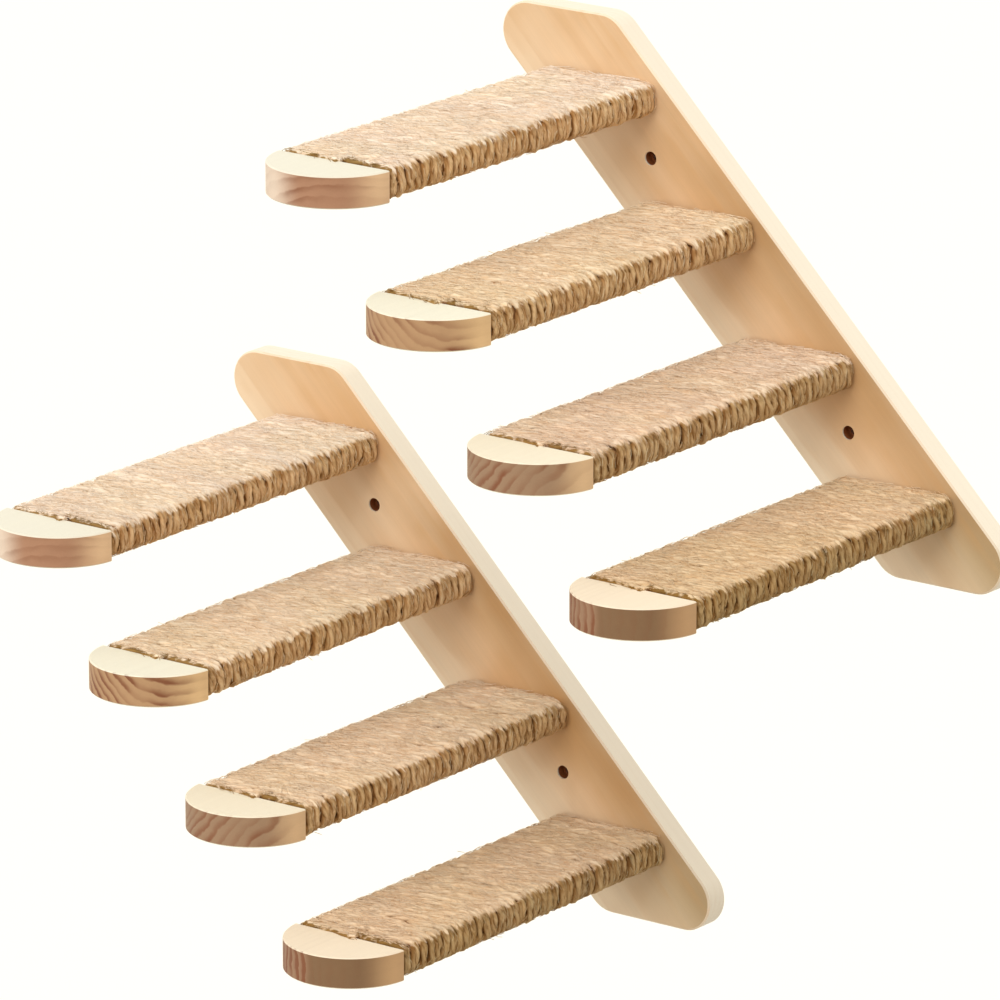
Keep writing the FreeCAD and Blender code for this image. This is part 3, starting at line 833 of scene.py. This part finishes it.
def add_camera():
    """The photograph's view."""
    back = Vector((
        math.sin(CAMERA_TURN) * math.cos(CAMERA_RISE),
        -math.cos(CAMERA_TURN) * math.cos(CAMERA_RISE),
        math.sin(CAMERA_RISE),
    ))
    right = Vector((math.cos(CAMERA_TURN), math.sin(CAMERA_TURN), 0.0))
    up = back.cross(right)
    data = bpy.data.cameras.new("camera")
    data.lens = CAMERA_LENS
    data.sensor_width = CAMERA_SENSOR
    data.clip_end = CAMERA_REACH
    camera = new_object("camera", data)
    camera.location = CAMERA_ANCHOR + back * CAMERA_DISTANCE + right * CAMERA_RIGHT + up * CAMERA_UP
    camera.rotation_mode = "QUATERNION"
    camera.rotation_quaternion = (-back).to_track_quat("-Z", "Y")
    bpy.context.scene.camera = camera


def shown_rays(start):
    """1 for the rays that show the surroundings: to the camera, and in metal and glass."""
    path = start.node("ShaderNodeLightPath")
    camera, glossy, transmission = (
        path.output(name) for name in ("Is Camera Ray", "Is Glossy Ray", "Is Transmission Ray"))
    total = camera + glossy + transmission
    return total.sum("MINIMUM", total, 1.0)


def add_stage():
    """A pale floor well below the ladders, a plain white world, and the lights."""
    material, start, shader = new_material("floor_paint")
    feed(shown_rays(start).mix(*FLOOR_TONES), shader, "Base Color")
    shader.inputs["Roughness"].default_value = 0.9
    shader.inputs["Specular IOR Level"].default_value = 0.0
    size, level = FLOOR_HALF_SIZE, cad_box[0].z - FLOOR_DROP
    mesh = bpy.data.meshes.new("floor")
    mesh.from_pydata([(-size, -size, level), (size, -size, level), (size, size, level), (-size, size, level)],
                     [], [(0, 1, 2, 3)])
    mesh.materials.append(material)
    floor = new_object("floor", mesh)
    world = bpy.data.worlds.new("studio")
    bpy.context.scene.world = world
    world.use_nodes = True
    tree = world.node_tree
    white = shown_rays(Wire(tree)).mix(*WORLD_TONES)
    tree.links.new(white.socket, tree.nodes["Background"].inputs["Color"])
    for sun in SUNS:
        add_sun(*sun)


# The wall board's wood: how far behind its back the tree's heart lay, the width of a ring, where the sapwood
# ends across the grain, and its tones in the order that pine takes
BOARD_HEART = 0.05
BOARD_RING = 0.0042
BOARD_SAP = (-0.042, 0.008)
BOARD_TONES = (rgb(253, 234, 204), rgb(246, 236, 216), rgb(226, 190, 146), rgb(199, 149, 89))
# A wall hole lies this far to the side of the board's middle, and as far above or below it
HOLE_OFFSET = 0.068
# Distances from the heart that no piece of wood reaches
NO_FADE = (0.5, 1.0)
STEP_LATE = rgb(128, 78, 48)
# The wood of each step: where the tree's heart lay beside its middle, the width of a ring, how its rings
# fade, how much one ring differs from the next, and its tones in the order that pine takes
STEP_WOOD = (
    ((0.016, -0.058), 0.0060, (*NO_FADE, 0.9), 1.3,
     (rgb(246, 208, 164), rgb(234, 230, 212), rgb(172, 128, 98), STEP_LATE)),
    ((0.036, 0.042), 0.0060, (*NO_FADE, 1.15), 1.2,
     (rgb(246, 208, 154), rgb(243, 240, 220), rgb(182, 144, 105), STEP_LATE)),
    ((-0.098, 0.100), 0.0058, (*NO_FADE, 0.72), 1.5,
     (rgb(224, 188, 144), rgb(244, 235, 211), rgb(156, 125, 96), STEP_LATE)),
    ((-0.097, 0.002), 0.0056, (0.092, 0.099, 2.2), 0.2,
     (rgb(204, 164, 118), rgb(246, 231, 206), rgb(154, 119, 90), STEP_LATE)),
)
# The first step's end turns pale from right to left, between these places beside its middle
PALE_END = (0.006, -0.016)


def paint(node, material):
    """Gives a CAD node this material."""
    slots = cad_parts[node].data.materials
    if len(slots):
        slots[0] = material
    else:
        slots.append(material)


def paint_ladder(ladder):
    """Pine for the wall board and for each step of a ladder."""
    low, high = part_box(f"{ladder}_wall_board")
    middle = (low + high) / 2
    holes = [(middle.x - side * HOLE_OFFSET, middle.z + side * HOLE_OFFSET) for side in (1, -1)]
    paint(f"{ladder}_wall_board", pine(
        f"{ladder}_board_pine", turn=(0.0, math.radians(45.0), 0.0), heart=(middle.x, BOARD_HEART, middle.z),
        ring=BOARD_RING, tones=BOARD_TONES, pale_where=(1, 0.95, 0.5), warmth=0.82,
        strengths=(0.16, 0.3, 1.3), fade=(*NO_FADE, 1.0), sap=BOARD_SAP, holes=holes))
    for step, (heart, ring, fade, change, tones) in zip(STEPS, STEP_WOOD):
        low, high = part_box(f"{ladder}_step_board_{step}")
        middle = (low + high) / 2
        paint(f"{ladder}_step_board_{step}", pine(
            f"{ladder}_step_pine_{step}", turn=(0.0, 0.0, math.radians(90.0)),
            heart=(middle.x + heart[0], 0.0, middle.z + heart[1]), ring=ring, tones=tones,
            pale_where=(2, 0.4, 0.8), warmth=0.3, strengths=(0.12, 0.95, change), fade=fade,
            pale_end=[middle.x + aside for aside in PALE_END] if step == 1 else None,
            covered_from=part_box(f"{ladder}_rope_wrap_{step}")[0].y))


add_camera()
add_stage()
bpy.context.scene.view_settings.view_transform = "Standard"

rope_jute = jute("jute")
screw_steel = steel("zinc_steel")
for ladder in LADDERS:
    paint_ladder(ladder)
winding_nodes, fuzz_nodes = winding_tree(), fuzz_tree()
loose_jute = fuzz_jute("loose_jute")
for ladder in LADDERS:
    make_wraps(ladder, winding_nodes, fuzz_nodes, rope_jute, loose_jute)
    make_screws(ladder, screw_steel)
